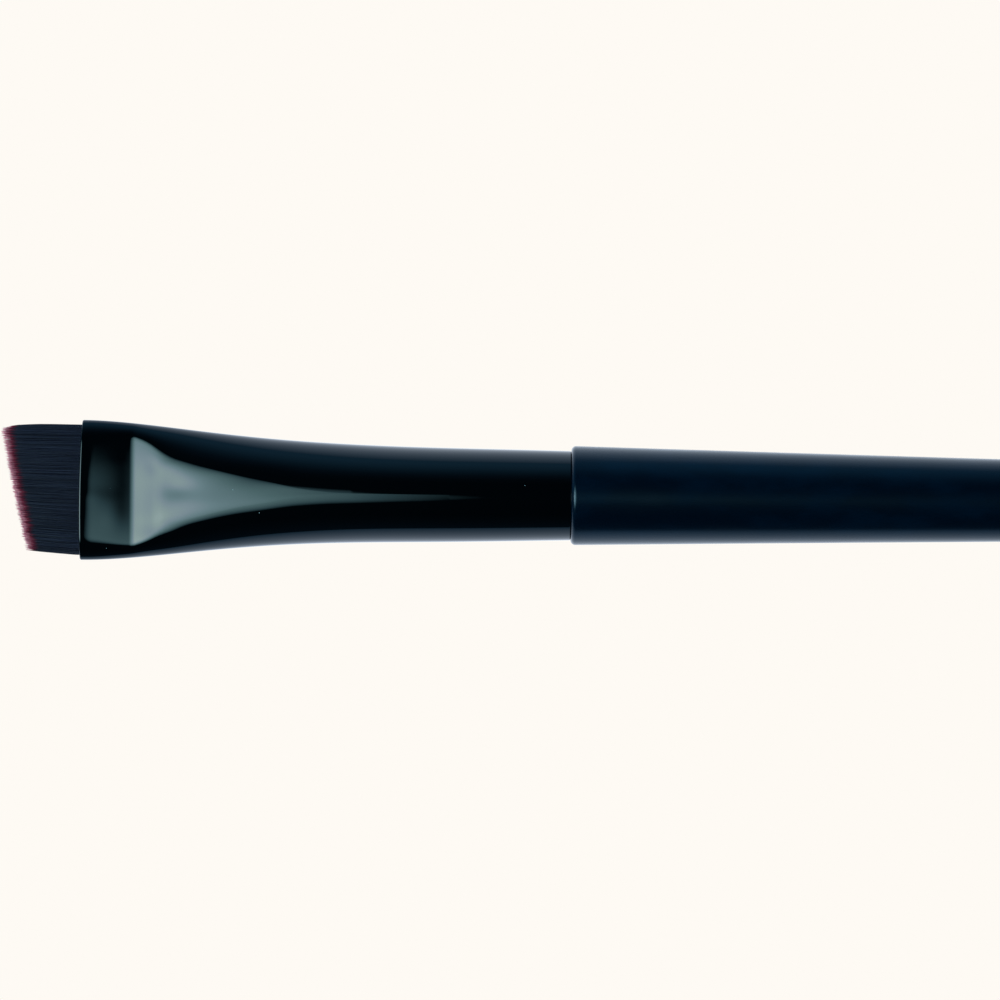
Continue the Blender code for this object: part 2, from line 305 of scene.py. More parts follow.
@dataclass(frozen=True)
class StovedGlossLacquer:
    """Black alkyd lacquer, sprayed and stoved on drawn aluminium.

    It lies like wet glass over the metal, with a faint haze and orange peel, and a few grains
    of dust sit on it.
    """

    name: str = "stoved_gloss_black_lacquer_on_aluminium"
    colour: str = "#020508"
    dust: str = "#9fb0b4"
    ior: float = 1.5
    roughness: float = 0.03
    roughness_spread: float = 0.03
    peel_width: float = 1.1 * MM
    peel_height: float = 0.0006 * MM
    haze_width: float = 2.6 * MM
    haze_range: tuple[float, float] = (0.35, 0.7)
    dust_spacing: float = 1.3 * MM
    dust_share: float = 0.025

    def build(self) -> Material:
        """Makes the lacquer.

        Returns:
            The material.
        """
        material, tree, place = new_material(self.name)
        haze = add_node(tree, "TexNoise", {
            "Vector": place, "Scale": 1 / self.haze_width, "Detail": 3.0
        })
        roughness = add_node(tree, "MapRange", {
            "Value": haze,
            "From Min": self.haze_range[0],
            "From Max": self.haze_range[1],
            "To Min": self.roughness,
            "To Max": self.roughness + self.roughness_spread,
        })
        dust = scatter_dust(tree, place, self.dust_spacing, self.dust_share)
        colour = add_node(tree, "Mix", {
            MIX_SHARE: dust, MIX_FIRST: srgb(self.colour), MIX_SECOND: srgb(self.dust)
        }, data_type="RGBA")
        peel = add_node(tree, "TexNoise", {
            "Vector": place, "Scale": 1 / self.peel_width, "Detail": 1.0
        })
        bump = add_node(tree, "Bump", {"Height": peel, "Distance": self.peel_height})
        finish_surface(tree, {
            "Base Color": colour.outputs[MIX_RESULT],
            "Roughness": roughness,
            "IOR": self.ior,
            "Normal": bump,
        })
        return material


@dataclass(frozen=True)
class SprayedSatinLacquer:
    """Blue-black nitro lacquer with a little matting agent, sprayed on turned, sanded birch.

    It blurs each reflection into a soft sheen, mottled by the coat's thickness, and lets a
    trace of the wood's long pores through.
    """

    name: str = "sprayed_satin_black_lacquer_on_birch"
    colour: str = "#000c19"
    thin_coat: str = "#011424"
    reflection: str = "#d8f0ff"
    ior: float = 1.5
    roughness: float = 0.18
    roughness_spread: float = 0.06
    specular_level: float = 0.39
    mottle_width: float = 2.2 * MM
    mottle_length: float = 4.5 * MM
    mottle_layers: float = 4.0
    layer_strength: float = 0.55
    mottle_range: tuple[float, float] = (0.3, 0.7)
    thin_coat_range: tuple[float, float] = (0.42, 0.72)
    pore_width: float = 0.12 * MM
    pore_length: float = 3.0 * MM
    grit: float = 0.09 * MM
    grit_height: float = 0.0012 * MM

    def build(self) -> Material:
        """Makes the lacquer.

        Returns:
            The material.
        """
        material, tree, place = new_material(self.name)
        size = (self.mottle_length, self.mottle_width)
        mottle = stretched_noise(tree, place, *size, self.mottle_layers, self.layer_strength)
        coat = add_node(tree, "MapRange", {
            "Value": mottle,
            "From Min": self.thin_coat_range[0],
            "From Max": self.thin_coat_range[1],
        }, interpolation_type="SMOOTHSTEP")
        colour = add_node(tree, "Mix", {
            MIX_SHARE: coat, MIX_FIRST: srgb(self.colour), MIX_SECOND: srgb(self.thin_coat)
        }, data_type="RGBA")
        roughness = add_node(tree, "MapRange", {
            "Value": mottle,
            "From Min": self.mottle_range[0],
            "From Max": self.mottle_range[1],
            "To Min": self.roughness + self.roughness_spread,
            "To Max": self.roughness,
        })
        pores = stretched_noise(tree, place, self.pore_length, self.pore_width)
        # The matting agent's grains are a few microns across, and are drawn coarser to show.
        grit = add_node(tree, "TexNoise", {"Vector": place, "Scale": 1 / self.grit, "Detail": 2.0})
        height = add_node(tree, "Math", {0: grit, 1: pores}, operation="ADD")
        bump = add_node(tree, "Bump", {"Height": height, "Distance": self.grit_height})
        finish_surface(tree, {
            "Base Color": colour.outputs[MIX_RESULT],
            "Roughness": roughness,
            "IOR": self.ior,
            "Specular IOR Level": self.specular_level,
            "Specular Tint": srgb(self.reflection),
            "Normal": bump,
        })
        return material


@dataclass(frozen=True)
class DippedFilament:
    """Extruded PBT filament, dyed blue-black in the mass and dipped burgundy at its tips.

    Each filament has its own tone and a satin sheen along it. The dip fades over the last
    millimetre, and ends at the very tips in a pale pink that is painted light shining through the
    fine tips.
    """

    name: str = "dyed_pbt_filament_with_dipped_tips"
    from_tip: str = "from_tip"
    tone: str = "tone"
    body: str = "#191926"
    light_body: str = "#2f3146"
    dip: str = "#6a1229"
    bright_dip: str = "#9a3448"
    # The pale pink of the very tips is painted light shining through them, not dye.
    tip: str = "#ffa8b6"
    lint: str = "#a9abb4"
    dip_length: float = 0.8 * MM
    # Shares of the dip's length, from the tip. Up to the last one the body's tone is hidden.
    bright_dip_at: float = 0.36
    dip_at: float = 0.56
    dip_full_to: float = 0.45
    ior: float = 1.5
    roughness: float = 0.38
    specular_level: float = 0.18
    streak_width: float = 0.11 * MM
    streak_length: float = 2.5 * MM
    lint_spacing: float = 0.9 * MM
    lint_share: float = 0.03

    def build(self) -> Material:
        """Makes the filament.

        Returns:
            The material.
        """
        material, tree, place = new_material(self.name)
        from_tip = add_node(tree, "Attribute", attribute_name=self.from_tip)
        tone = add_node(tree, "Attribute", attribute_name=self.tone)
        # The dye's streaks are finer than a filament, and are drawn coarser to show.
        streaks = stretched_noise(tree, place, self.streak_length, self.streak_width)
        shade = add_node(tree, "Math", {0: tone.outputs["Fac"], 1: streaks}, operation="MULTIPLY")
        body = add_node(tree, "Mix", {
            MIX_SHARE: shade, MIX_FIRST: srgb(self.body), MIX_SECOND: srgb(self.light_body)
        }, data_type="RGBA")
        way = from_tip.outputs["Fac"]
        share = add_node(tree, "MapRange", {"Value": way, "From Max": self.dip_length})
        # The first stop is the tips' painted light; the stops after it are the dip's dye and the
        # body.
        stops = [
            (0.0, srgb(self.tip)),
            (self.bright_dip_at, srgb(self.bright_dip)),
            (self.dip_at, srgb(self.dip)),
            (1.0, srgb(self.body)),
        ]
        dipped = add_node(tree, "ValToRGB", {0: share}, stops=stops)
        dip_share = add_node(tree, "MapRange", {
            "Value": share, "From Min": 1.0, "From Max": self.dip_full_to
        }, interpolation_type="SMOOTHSTEP")
        colour = add_node(tree, "Mix", {
            MIX_SHARE: dip_share, MIX_FIRST: body.outputs[MIX_RESULT], MIX_SECOND: dipped
        }, data_type="RGBA")
        lint = scatter_dust(tree, place, self.lint_spacing, self.lint_share)
        linted = add_node(tree, "Mix", {
            MIX_SHARE: lint, MIX_FIRST: colour.outputs[MIX_RESULT], MIX_SECOND: srgb(self.lint)
        }, data_type="RGBA")
        finish_surface(tree, {
            "Base Color": linted.outputs[MIX_RESULT],
            "Roughness": self.roughness,
            "IOR": self.ior,
            "Specular IOR Level": self.specular_level,
        })
        return material


@dataclass(frozen=True)
class InnerFinish:
    """A cured, spun or poured material inside the ferrule, with its own grain.

    The two colours are the material's thick and thin places, and the grain is the width of
    what breaks its surface up, such as a ply of the thread or a bubble in the glue.
    """

    name: str
    thick: str
    thin: str
    roughness: float
    grain: float
    grain_height: float
    ior: float = 1.5

    def build(self) -> Material:
        """Makes the finish.

        Returns:
            The material.
        """
        material, tree, place = new_material(self.name)
        grain = add_node(tree, "TexNoise", {
            "Vector": place, "Scale": 1 / self.grain, "Detail": 3.0
        })
        colour = add_node(tree, "Mix", {
            MIX_SHARE: grain, MIX_FIRST: srgb(self.thick), MIX_SECOND: srgb(self.thin)
        }, data_type="RGBA")
        bump = add_node(tree, "Bump", {"Height": grain, "Distance": self.grain_height})
        finish_surface(tree, {
            "Base Color": colour.outputs[MIX_RESULT],
            "Roughness": self.roughness,
            "IOR": self.ior,
            "Normal": bump,
        })
        return material


@dataclass(frozen=True)
class BrushPlacement:
    """Where the brush lies: the middle of its mouth, and its own directions."""

    mouth: Vector
    along: Vector
    up: Vector

    @classmethod
    def from_record(cls, record: dict[str, Any], crimp_length: float) -> "BrushPlacement":
        """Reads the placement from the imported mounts.

        Args:
            record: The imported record.
            crimp_length: Length of the pressed flats, whose middles are two of the mounts.

        Returns:
            The placement.
        """
        mounts = {mount["name"]: mount for mount in record["mounts"]}
        top = mounts["ferrule_flat_top"]
        bottom = mounts["ferrule_flat_bottom"]
        along = Vector(mounts["handle_end"]["axis"]).normalized()
        middle = (Vector(top["pos_m"]) + Vector(bottom["pos_m"])) / 2
        return cls(middle - along * crimp_length / 2, along, Vector(top["axis"]).normalized())

    @property
    def side(self) -> Vector:
        """The direction of the longer filaments."""
        return self.up.cross(self.along)

    @property
    def matrix(self) -> Matrix:
        """The brush's frame in the world."""
        return frame_matrix(self.mouth, self.along, self.side, self.up)


Finish = StovedGlossLacquer | SprayedSatinLacquer | DippedFilament


@dataclass
class SubAssembly:
    """Fine meshes of one finish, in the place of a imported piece."""

    slot: ClassVar[Slot]
    replaced: ClassVar[Part]
    finish: ClassVar[Finish]
    placement: BrushPlacement

    def build_meshes(self) -> list[Mesh]:
        """Builds the meshes, which each sub-assembly does in its own way."""
        raise NotImplementedError

    def build(self) -> list[Object]:
        """Builds the meshes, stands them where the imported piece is, and dresses them.

        Returns:
            The pieces, named for their meshes.
        """
        material = self.finish.build()
        pieces = []
        for mesh in self.build_meshes():
            mesh.transform(self.placement.matrix)
            mesh.materials.append(material)
            piece = add_object(mesh.name, mesh)
            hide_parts(self.replaced.value)
            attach(piece, Body.ROOT.value)
            pieces.append(piece)
        return pieces


def skin_faces(first: int, count: int, rows: int, closed: bool = False) -> list[tuple[int, ...]]:
    """Joins rows of points into the faces of a skin.

    Args:
        first: The first point's index.
        count: How many points a row has.
        rows: How many rows there are, seen anticlockwise from the last one.
        closed: Whether the last row joins the first. Otherwise both are capped.

    Returns:
        The faces, which look outwards.
    """
    faces = []
    for row in range(rows if closed else rows - 1):
        here = first + row * count
        there = first + (row + 1) % rows * count
        for index in range(count):
            after = (index + 1) % count
            faces.append((here + index, here + after, there + after, there + index))
    if not closed:
        faces.append(tuple(reversed(range(first, first + count))))
        faces.append(tuple(range(first + (rows - 1) * count, first + rows * count)))
    return faces


def skin_mesh(name: str, outlines: Sequence[Outline], closed: bool = False) -> Mesh:
    """Makes a skin through a row of outlines that have the same number of points.

    Args:
        name: The mesh's name.
        outlines: The outlines in order, seen anticlockwise from the last one.
        closed: Whether the last outline joins the first. Otherwise both are capped.

    Returns:
        The smooth mesh.
    """
    points = [point for outline in outlines for point in outline]
    mesh = bpy.data.meshes.new(name)
    mesh.from_pydata(points, [], skin_faces(0, len(outlines[0]), len(outlines), closed))
    # Where a flat ends, its points meet in one.
    welded = bmesh.new()
    welded.from_mesh(mesh)
    bmesh.ops.remove_doubles(welded, verts=welded.verts, dist=WELD_DISTANCE)
    welded.to_mesh(mesh)
    welded.free()
    mesh.shade_smooth()
    mesh.set_sharp_from_angle(angle=SMOOTH_ANGLE)
    return mesh


@dataclass(frozen=True)
class PressMark:
    """A shallow mark that the press left in a flat, raised or, with a height below 0, sunk."""

    x: float
    y: float
    reach_x: float
    reach_y: float
    height: float

    @classmethod
    def in_mm(cls, *marks: Sequence[float]) -> tuple["PressMark", ...]:
        """Makes marks, each from its five sizes in millimetres."""
        return tuple(cls(*(size * MM for size in sizes)) for sizes in marks)

    def rise(self, x: float, y: float) -> float:
        """Gives the mark's rise at a place in the flat."""
        away = ((x - self.x) / self.reach_x) ** 2 + ((y - self.y) / self.reach_y) ** 2
        return self.height * math.exp(-away)


@dataclass
class Ferrule(SubAssembly):
    """The drawn tube, pressed flat round the knot at its mouth."""

    slot = Slot.FERRULE
    replaced = Part.FERRULE
    finish = StovedGlossLacquer()
    crimp_length: float = 3.2 * MM
    wedge_length: float = 22.8 * MM
    tail_length: float = 4.55 * MM
    wall: float = 0.25 * MM
    mouth_width: float = 8.75 * MM
    mouth_thickness: float = 1.9 * MM
    tail_diameter: float = 5.58 * MM
    tube_taper_power: float = 2.03
    spread_fade: float = 4.35
    pinch_fade: float = 2.965
    # How much of what the press spread out is flat, at each distance from the mouth.
    flat_shares: Curve = (
        (0.0 * MM, 0.837),
        (3.2 * MM, 1.0),
        (4.2 * MM, 0.98),
        (5.2 * MM, 0.861),
        (6.4 * MM, 0.874),
        (8.0 * MM, 0.883),
        (10.0 * MM, 0.84),
        (12.0 * MM, 0.78),
        (14.0 * MM, 0.464),
        (17.0 * MM, 0.0),
        (26.0 * MM, 0.0),
    )
    rim_radius: float = 0.09 * MM
    tail_edge: float = 0.07 * MM
    crease_radius: float = 0.18 * MM
    flare_height: float = 0.052 * MM
    flare_length: float = 0.63 * MM
    crown_rate: float = 0.0212 / MM
    soft_edge_slope: float = 0.14
    soft_edge_from: float = 3.6 * MM
    soft_edge_full: float = 7.5 * MM
    soft_edge_to: float = 18.0 * MM
    bite_rate: float = 0.0085 / MM
    marks: Sequence[PressMark] = PressMark.in_mm(
        (1.8, 2.35, 1.59, 0.81, -0.0067),
        (0.69, -0.45, 1.15, 0.5, 0.014),
        (3.76, -0.19, 2.2, 2.18, -0.03),
        (3.15, -1.3, 1.82, 2.34, -0.0299),
        (3.4, 0.3, 1.01, 2.23, -0.0286),
        (2.1, -1.75, 0.76, 0.87, 0.0138),
        (5.49, 0.27, 0.97, 0.96, -0.03),
        (4.55, -0.99, 0.36, 1.59, -0.0243),
        (5.3, -2.29, 1.44, 0.53, -0.0251),
        (6.18, 0.19, 1.1, 0.65, -0.03),
        (5.67, 1.63, 0.66, 0.53, 0.0164),
        (7.56, -0.73, 1.5, 0.66, 0.0114),
        (10.8, 0.86, 2.24, 0.62, -0.03),
        (4.49, 1.5, 0.29, 0.55, -0.0195),
    )
    bow_depth: float = 0.1 * MM
    bow_length: float = 1.6 * MM
    mouth_slant: float = 0.009
    sag_depth: float = 0.055 * MM
    sag_at: float = 22.0 * MM
    sag_reach: float = 7.0 * MM
    support_gap: float = 0.01 * MM
    crimp_steps: int = 20
    crease_steps: int = 12
    wedge_steps: int = 76
    tail_steps: int = 8
    # The crease's close outlines reach this many crease radii to either side of it.
    crease_zone: float = 1.5
    # The hidden inner skin has one outline for this many outer ones.
    inner_stride: int = 3
    flat_steps: int = 36
    end_steps: int = 28
    arc_steps: int = 6

    @property
    def round_from(self) -> float:
        """Where the wedge ends in the round tail."""
        return self.crimp_length + self.wedge_length

    @property
    def length(self) -> float:
        """The ferrule's whole length."""
        return self.round_from + self.tail_length

    @property
    def mouth_round_radius(self) -> float:
        """Radius of the round tube that has the mouth's girth."""
        return (self.mouth_width - self.mouth_thickness) / math.pi + self.mouth_thickness / 2

    def section(self, x: float, inset: float = 0.0) -> tuple[float, float, float]:
        """Gives the pressed tube's section.

        Args:
            x: Distance from the mouth.
            inset: How far the section is drawn in from the outer skin.

        Returns:
            Half the flat's width, the reach of the half ellipses beyond it, and half the
            thickness.
        """
        taper_share = clamp(x / self.length) ** self.tube_taper_power
        radius = lerp(self.mouth_round_radius, self.tail_diameter / 2, taper_share)
        extra = self.mouth_width / 2 - self.mouth_round_radius
        half_width = radius + extra * level_fade(x / self.round_from, self.spread_fade)
        wedge_share = soft_ramp(x - self.crimp_length, self.crease_radius) / self.wedge_length
        pinch = (radius - self.mouth_thickness / 2) * fade(wedge_share, self.pinch_fade)
        half_thickness = radius - pinch
        flat = (half_width - half_thickness) * curve_through(self.flat_shares, x)
        return flat, half_width - flat - inset, half_thickness - inset

    def relief(self, x: float, y: float, flat: float, end: float) -> float:
        """Gives how far the press left the skin out of true.

        The mouth flares a little, the press bit deeper on the longer filaments' side, both
        flats are crowned and carry its marks, and the wedge's edges are eased.

        Args:
            x: Distance from the mouth.
            y: Place across the section.
            flat: Half the flat's width there.
            end: Reach of the half ellipses there.

        Returns:
            The rise of the skin.
        """
        flare = self.flare_height * fade(x / self.flare_length, 2.0)
        bite = -self.bite_rate * y * min(x, self.crimp_length) * fade(x / self.length, 1.0)
        crown = self.crown_rate * y * y / 2 * fade(x / self.length, 1.0)
        start, full, stop = self.soft_edge_from, self.soft_edge_full, self.soft_edge_to
        eased = smooth_step((x - start) / (full - start))
        eased *= 1.0 - smooth_step((x - full) / (stop - full))
        past_flat = clamp((abs(y) - flat) / end)
        flat_share = min(abs(y) / flat, 1.0) if flat > 0.0 else 0.0
        edge = flat * flat_share**4 / 4 + end * (past_flat - past_flat**2 / 2)
        marks = sum(mark.rise(x, y) for mark in self.marks)
        return flare + bite + marks - crown - self.soft_edge_slope * eased * edge

    def bow(self, x: float, y: float) -> float:
        """Gives how far the mouth's bowed, slightly slanted edge stands out.

        Args:
            x: Distance from the mouth.
            y: Place across the section.

        Returns:
            The way towards the filaments.
        """
        bowed = self.bow_depth * (1.0 - (2 * y / self.mouth_width) ** 2)
        slanted = self.mouth_slant * (self.mouth_width / 2 - y)
        return (bowed + slanted) * fade(x / self.bow_length, 2.0)

    def sag(self, x: float) -> float:
        """Gives how far the drawn tube strays sideways from a straight line."""
        return -self.sag_depth * math.exp(-(((x - self.sag_at) / self.sag_reach) ** 2))

    def outline(self, x: float, inset: float = 0.0) -> Outline:
        """Draws the section's outline, anticlockwise seen from the handle's side.

        Args:
            x: Distance from the mouth.
            inset: How far the outline is drawn in from the outer skin.

        Returns:
            The outline's points.
        """
        flat, end, half = self.section(x, inset)
        spots = [(y, 1.0) for y in spread(-flat, flat, self.flat_steps)[:-1]]
        angles = spread(0.0, math.pi, self.end_steps)[:-1]
        spots += [(flat + end * math.sin(angle), math.cos(angle)) for angle in angles]
        points = []
        for side in (1.0, -1.0):
            for across, tilt in spots:
                y = -side * across
                z = side * tilt * (half + self.relief(x, y, flat, end + inset))
                points.append(Vector((x - self.bow(x, y), y + self.sag(x), z)))
        return points

    def stations(self) -> list[float]:
        """Gives the places of the outer outlines, closest at the crease.

        Returns:
            Distances from the mouth.
        """
        before = self.crimp_length - self.crease_zone * self.crease_radius
        behind = self.crimp_length + self.crease_zone * self.crease_radius
        last = self.length - self.tail_edge - self.support_gap
        crimp = spread(self.rim_radius + self.support_gap, before, self.crimp_steps)
        crease = spread(before, behind, self.crease_steps)[1:-1]
        wedge = spread(behind, self.round_from, self.wedge_steps)
        tail = spread(self.round_from, last, self.tail_steps)[1:]
        return crimp + crease + wedge + tail

    def edge_outlines(self, x: float, radius: float, outward: float) -> list[Outline]:
        """Draws the rounded edge of the wall at one end, from the inner skin to the outer.

        Args:
            x: Where the tube ends.
            radius: The edge's radius.
            outward: The end's outward direction along x, 1 or -1.

        Returns:
            The outlines of the edge.
        """
        inner = []
        outer = []
        for angle in spread(0.0, math.pi / 2, self.arc_steps):
            place = x - outward * radius * (1.0 - math.sin(angle))
            depth = radius * (1.0 - math.cos(angle))
            inner.append(self.outline(place, self.wall - depth))
            outer.append(self.outline(place, depth))
        return inner + outer[::-1]

    def build_meshes(self) -> list[Mesh]:
        """Builds the tube, with its real wall and rounded edges.

        Returns:
            The tube alone, in the brush's frame.
        """
        rim = self.edge_outlines(0.0, self.rim_radius, -1.0)
        outer = [self.outline(x) for x in self.stations()]
        tail = self.edge_outlines(self.length, self.tail_edge, 1.0)
        inner = [self.outline(x, self.wall) for x in self.stations()[-2:0:-self.inner_stride]]
        return [skin_mesh("ferrule_tube", rim + outer + tail[::-1] + inner, closed=True)]


@dataclass
class Handle(SubAssembly):
    """The turned handle: a tenon, a shoulder with a lip, and a long taper to a domed end."""

    slot = Slot.HANDLE
    replaced = Part.HANDLE
    finish = SprayedSatinLacquer()
    ferrule: Ferrule
    fit_gap: float = 0.01 * MM
    shoulder_diameter: float = 6.2 * MM
    lip_radius: float = 0.3 * MM
    lip_blend: float = 0.06 * MM
    length: float = 114.55 * MM
    end_diameter: float = 3.2 * MM
    taper_fade: float = 1.58
    dome_length: float = 1.5 * MM
    end_flat_diameter: float = 1.4 * MM
    tenon_length: float = 9.0 * MM
    tenon_diameter: float = 4.64 * MM
    tenon_chamfer: float = 0.4 * MM
    sides: int = 128
    taper_steps: int = 60
    arc_steps: int = 10

    def taper_radius(self, height: float) -> float:
        """Gives the radius at a height above the shoulder."""
        share = fade(height / self.length, self.taper_fade)
        return lerp(self.end_diameter / 2, self.shoulder_diameter / 2, share)

    def profile(self) -> list[tuple[float, float]]:
        """Draws the turned profile, from the tenon's end to the domed end.

        Returns:
            Pairs of radius and height above the shoulder.
        """
        tenon = self.tenon_diameter / 2
        points = [
            (tenon - self.tenon_chamfer, -self.tenon_length),
            (tenon, self.tenon_chamfer - self.tenon_length),
            (tenon, 0.0),
        ]
        quarter = spread(math.pi / 2, 0.0, self.arc_steps)
        for angle in quarter:
            radius = self.taper_radius(self.lip_radius) - self.lip_radius * (1.0 - math.cos(angle))
            points.append((radius, self.lip_radius * (1.0 - math.sin(angle))))
        foot = self.length - self.dome_length
        behind = self.lip_radius + self.lip_blend
        points += [(self.taper_radius(h), h) for h in spread(behind, foot, self.taper_steps)]
        for angle in quarter[1:]:
            radius = lerp(self.end_flat_diameter / 2, self.taper_radius(foot), math.sin(angle))
            points.append((radius, foot + self.dome_length * math.cos(angle)))
        return points

    def build_meshes(self) -> list[Mesh]:
        """Turns the profile round the brush's axis.

        Returns:
            The turned piece alone, in the brush's frame.
        """
        angles = [math.tau * side / self.sides for side in range(self.sides)]
        rings = []
        for radius, height in self.profile():
            x = self.ferrule.length + self.fit_gap + height
            rings.append([Vector((x, radius * math.cos(a), radius * math.sin(a))) for a in angles])
        return [skin_mesh("turned_handle", rings)]


@dataclass
class Strand:
    """One filament: its middle line, its radius along it, and its own tone."""

    line: Outline
    radii: list[float]
    tone: float


@dataclass
class FilamentKnot(SubAssembly):
    """The knot: filaments packed in the mouth and cut on a slant."""

    slot = Slot.FILAMENT
    replaced = Part.BRISTLES
    finish: ClassVar[DippedFilament] = DippedFilament()
    ferrule: Ferrule
    inset: float = 0.26 * MM
    long_side: float = 4.98 * MM
    short_side: float = 3.25 * MM
    cut_bulge: float = 0.07 * MM
    tip_width: float = 7.95 * MM
    tip_thickness: float = 0.8 * MM
    tip_lean: float = 0.14 * MM
    corner_drop: float = 0.5 * MM
    corner_curl: float = 0.26 * MM
    corner_curl_power: float = 7.0
    corner_from_share: float = 0.85
    root_setback: float = 0.9 * MM
    filament_diameter: float = 0.075 * MM
    packing_share: float = 1.04
    shuffle: float = 0.02 * MM
    tip_shuffle: float = 0.05 * MM
    bow: float = 0.02 * MM
    shorter: float = 0.18 * MM
    longer: float = 0.27 * MM
    tip_taper: float = 0.7 * MM
    tip_radius_share: float = 0.2
    drawing_in: float = 1.2
    thinning_out: float = 1.3
    stations: Sequence[float] = (0.0, 0.3, 0.5, 0.66, 0.8, 0.88, 0.94, 1.0)
    sides: int = 5
    smooth_angle: float = math.radians(80)
    block_front: float = 0.6 * MM
    block_end: float = 11.0 * MM
    neck_room: float = 0.8 * MM
    neck_from: float = 7.5 * MM
    block_steps: int = 40
    seed: int = 7
    chance: random.Random = field(init=False)

    def __post_init__(self) -> None:
        """Seeds the knot's own draws."""
        self.chance = random.Random(self.seed)

    def places(self) -> Iterable[tuple[float, float]]:
        """Packs the filaments in rows, each row set half a step over.

        Yields:
            Place across and up in the mouth's opening.
        """
        flat, end, half = self.ferrule.section(0.0, self.inset)
        step = self.filament_diameter * self.packing_share
        row_step = step * math.sqrt(3) / 2
        radius = self.filament_diameter / 2
        rows = int((half - radius) / row_step)
        columns = int((flat + end) / step)
        for row in range(-rows, rows + 1):
            for column in range(-columns, columns + 1):
                y = (column + (0.5 if row % 2 else 0.0)) * step
                z = row * row_step
                past_flat = max(abs(y) + radius - flat, 0.0) / end
                if past_flat < 1.0 and abs(z) + radius <= half * math.sqrt(1 - past_flat**2):
                    yield y, z

    def corner_share(self, u: float) -> float:
        """Rises from 0 to 1 over the outermost filaments on the longer side."""
        return clamp((u - self.corner_from_share) / (1.0 - self.corner_from_share))

    def tip(self, u: float, z: float) -> Vector:
        """Gives the end of a filament on the slanted cut.

        Args:
            u: Place across the knot, from -1 to 1.
            z: Place up in the mouth's opening.

        Returns:
            The tip.
        """
        half = self.ferrule.section(0.0, self.inset)[-1]
        reach = lerp(self.short_side, self.long_side, (u + 1.0) / 2)
        reach += self.cut_bulge * (1.0 - u * u)
        reach -= self.corner_drop * self.corner_share(u) ** 2
        reach += self.chance.triangular(-self.shorter, self.longer, 0.0)
        y = self.tip_lean + u * self.tip_width / 2 + self.chance.gauss(0.0, self.tip_shuffle / 2)
        return Vector((-reach, y, z * self.tip_thickness / 2 / half))

    def strand(self, y: float, z: float) -> Strand:
        """Draws one filament from inside the mouth to its tip.

        Args:
            y: Place across the mouth's opening.
            z: Place up in it.

        Returns:
            The filament.
        """
        flat, end, _ = self.ferrule.section(0.0, self.inset)
        y += self.chance.uniform(-self.shuffle, self.shuffle)
        z += self.chance.uniform(-self.shuffle, self.shuffle)
        u = y / (flat + end)
        tip = self.tip(u, z)
        curl = self.corner_curl * self.corner_share(u) ** 2
        bow_y = self.chance.gauss(0.0, self.bow)
        bow_z = self.chance.gauss(0.0, self.bow / 2)
        line = []
        radii = []
        for share in self.stations:
            x = lerp(self.root_setback, tip.x, share)
            out = clamp(x / tip.x)
            sway = math.sin(math.pi * out)
            across = lerp(y, tip.y, out**self.drawing_in) + bow_y * sway
            up = lerp(z, tip.z, out**self.thinning_out) + bow_z * sway
            line.append(Vector((x, across - curl * out**self.corner_curl_power, up)))
            thinning = clamp((x - tip.x) / self.tip_taper)
            radii.append(self.filament_diameter / 2 * lerp(self.tip_radius_share, 1.0, thinning))
        return Strand(line, radii, self.chance.random())

    def build_meshes(self) -> list[Mesh]:
        """Builds the filaments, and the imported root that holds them.

        Returns:
            The two meshes, in the brush's frame.
        """
        return [self.build_strands(), self.build_block()]

    def build_strands(self) -> Mesh:
        """Builds all filaments in one mesh, each closed at both ends.

        Returns:
            The mesh, in the brush's frame, with each point's way from the tip and tone.
        """
        points = []
        faces = []
        from_tip = []
        tones = []
        for y, z in self.places():
            strand = self.strand(y, z)
            first = len(points)
            turn = self.chance.uniform(0.0, math.tau)
            for middle, radius in zip(strand.line, strand.radii):
                for side in range(self.sides):
                    angle = turn + math.tau * side / self.sides
                    points.append(middle + Vector((0.0, math.cos(angle), math.sin(angle))) * radius)
                    from_tip.append(middle.x - strand.line[-1].x)
                    tones.append(strand.tone)
            # The rows run towards the tips, so the faces are turned over.
            skin = skin_faces(first, self.sides, len(strand.line))
            faces += [face[::-1] for face in skin]
        mesh = bpy.data.meshes.new("filament_knot")
        mesh.from_pydata(points, [], faces)
        mesh.shade_smooth()
        mesh.set_sharp_from_angle(angle=self.smooth_angle)
        self.tag(mesh, from_tip, tones)
        return mesh

    def build_block(self) -> Mesh:
        """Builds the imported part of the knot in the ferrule, drawn in to a neck for its thread.

        Returns:
            The mesh, in the brush's frame, tagged as the filaments are.
        """
        outlines = []
        for x in spread(self.block_front, self.block_end, self.block_steps):
            start = self.ferrule.crimp_length
            drawn = self.neck_room * smooth_step((x - start) / (self.neck_from - start))
            outlines.append(self.ferrule.outline(x, self.inset + drawn))
        mesh = skin_mesh("packed_root", outlines)
        count = len(mesh.vertices)
        self.tag(mesh, [self.long_side] * count, [self.chance.random() for _ in range(count)])
        return mesh

    def tag(self, mesh: Mesh, from_tip: list[float], tones: list[float]) -> None:
        """Tells the finish how far each point is from its tip, and its tone.

        Args:
            mesh: The mesh.
            from_tip: Way from the tip, one for each point.
            tones: Tone from 0 to 1, one for each point.
        """
        for name, values in ((self.finish.from_tip, from_tip), (self.finish.tone, tones)):
            mesh.attributes.new(name, "FLOAT", "POINT").data.foreach_set("value", values)


